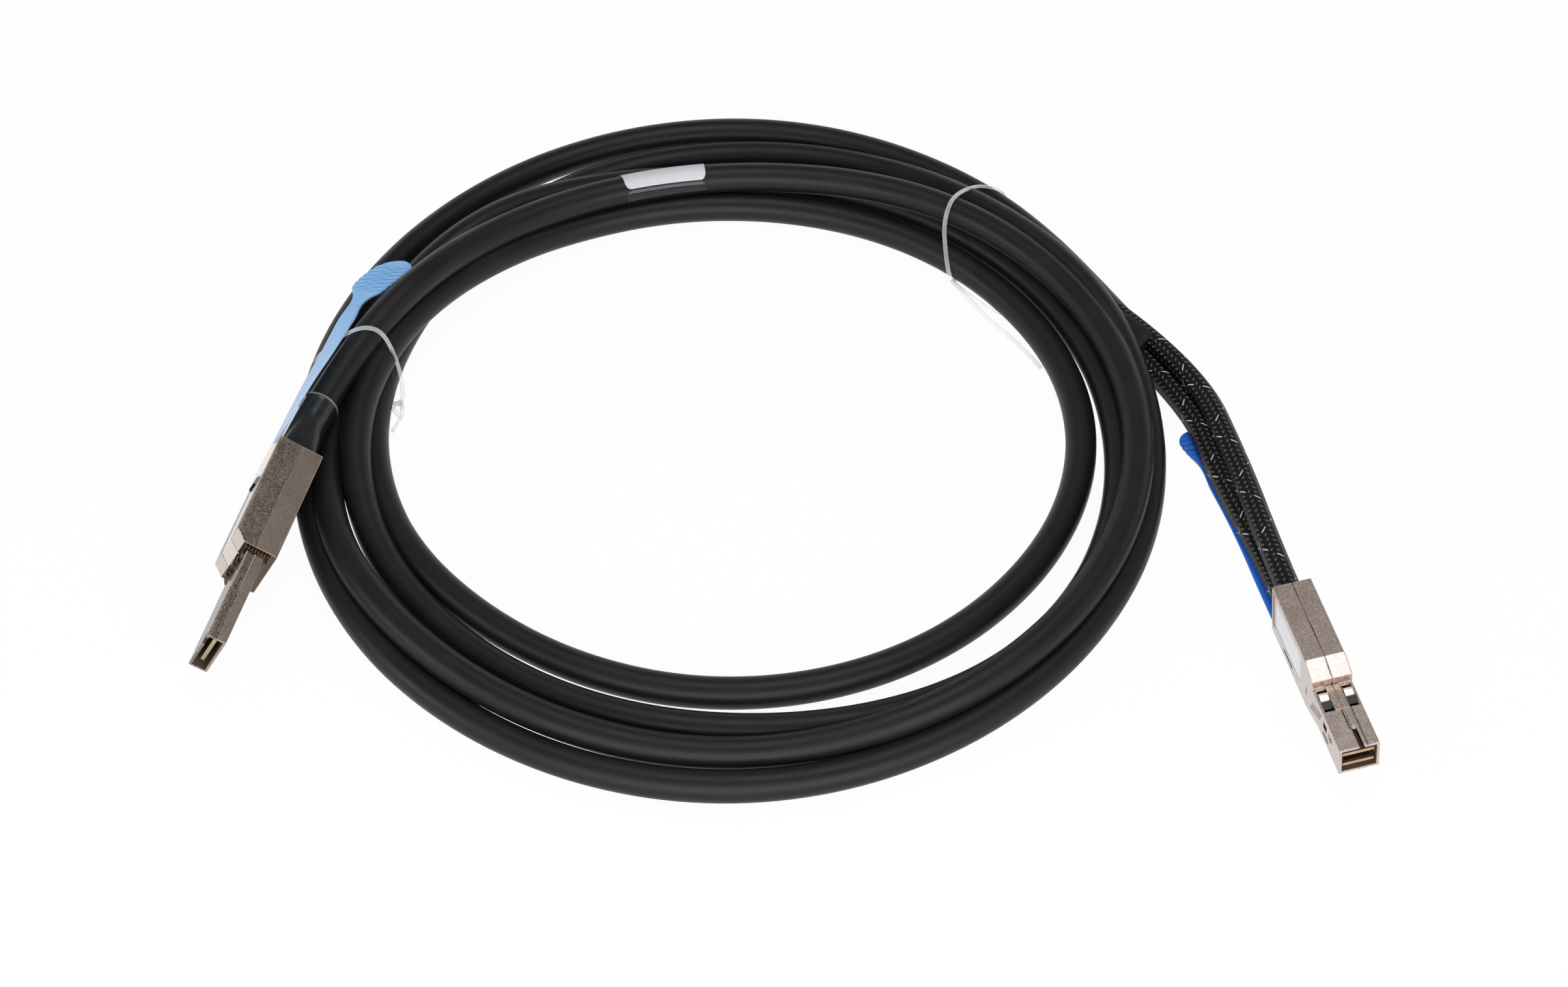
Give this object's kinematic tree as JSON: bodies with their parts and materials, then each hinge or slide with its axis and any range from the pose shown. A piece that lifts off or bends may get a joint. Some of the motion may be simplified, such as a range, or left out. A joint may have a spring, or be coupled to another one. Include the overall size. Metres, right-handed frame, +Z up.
{
  "type": "mini sas hd cable",
  "caption": "Coiled round data cable with a wide latching plug on one end and a braided-leg high-density plug with a pull tab on the other.",
  "frame": {"origin": "middle of the box round both plugs and their pull tabs, on the surface the cable lies on", "axes": "+Z up, +X from the wide plug towards the HD plug, +Y away from the plugs' noses"},
  "size_m": [0.3032, 0.25, 0.0262],
  "materials": {
    "die_cast_zinc": "satin plated",
    "circuit_board": "satin",
    "gold_plating": "bright",
    "black_nylon": "matte",
    "stainless_steel": "satin",
    "brass_crimp": "satin",
    "heat_shrink": "satin",
    "light_blue_plastic": "satin",
    "royal_blue_plastic": "satin",
    "white_label": "satin",
    "black_pvc": "satin",
    "black_braid": "woven",
    "clear_plastic": "clear"
  },
  "bodies": {
    "cable": {"wide_plug_top_shell": "die_cast_zinc", "wide_plug_base_shell": "die_cast_zinc", "wide_plug_card": "circuit_board", "wide_plug_contacts": "gold_plating", "wide_plug_wire_block": "black_nylon", "wide_plug_shield_collar": "stainless_steel", "wide_plug_latch_pin": "stainless_steel", "wide_plug_crimp_ring": "brass_crimp", "wide_plug_boot": "heat_shrink", "wide_plug_screws": "stainless_steel", "hd_plug_left_shell": "die_cast_zinc", "hd_plug_right_shell": "die_cast_zinc", "hd_plug_lower_card": "circuit_board", "hd_plug_upper_card": "circuit_board", "hd_plug_lower_contacts": "gold_plating", "hd_plug_upper_contacts": "gold_plating", "hd_plug_card_spacer": "black_nylon", "hd_plug_latch_pin": "stainless_steel", "hd_plug_side_label": "white_label", "hd_plug_crimp_rings": "brass_crimp", "hd_plug_screws": "stainless_steel", "cable_coil": "black_pvc", "cable_lead": "black_pvc", "breakout_sleeve": "heat_shrink", "upper_braided_leg": "black_braid", "lower_braided_leg": "black_braid", "cable_label": "white_label", "left_twist_tie": "clear_plastic", "right_twist_tie": "clear_plastic"},
    "wide_latch": {"wide_plug_latch": "stainless_steel"},
    "wide_tab": {"wide_plug_pull_tab": "light_blue_plastic"},
    "hd_latch": {"hd_plug_latch": "stainless_steel"},
    "hd_tab": {"hd_plug_pull_tab": "royal_blue_plastic"}
  },
  "joints": [
    {"name": "wide_tab_slide", "type": "slide", "parent": "cable", "child": "wide_tab", "axis": [0.255, 0.965, 0.061], "range_m": [0, 0.0025], "stiffness_N_per_m": 1500},
    {"name": "wide_latch_hinge", "type": "hinge", "parent": "cable", "child": "wide_latch", "pos_m": [-0.13829, -0.00046, 0.01574], "axis": [-0.4326, 0.1703, -0.8854], "range_deg": [0, 4]},
    {"name": "hd_tab_slide", "type": "slide", "parent": "cable", "child": "hd_tab", "axis": [-0.206, 0.9773, -0.0488], "range_m": [0, 0.0025], "stiffness_N_per_m": 1500},
    {"name": "hd_latch_hinge", "type": "hinge", "parent": "cable", "child": "hd_latch", "pos_m": [0.13892, -0.05318, 0.01412], "axis": [0.9721, 0.2101, 0.1044], "range_deg": [0, 2]}
  ],
  "couplings": [
    {"joint": "wide_latch_hinge", "follows": "wide_tab_slide", "rad_per_m": 27.9},
    {"joint": "hd_latch_hinge", "follows": "hd_tab_slide", "rad_per_m": 13.9}
  ]
}
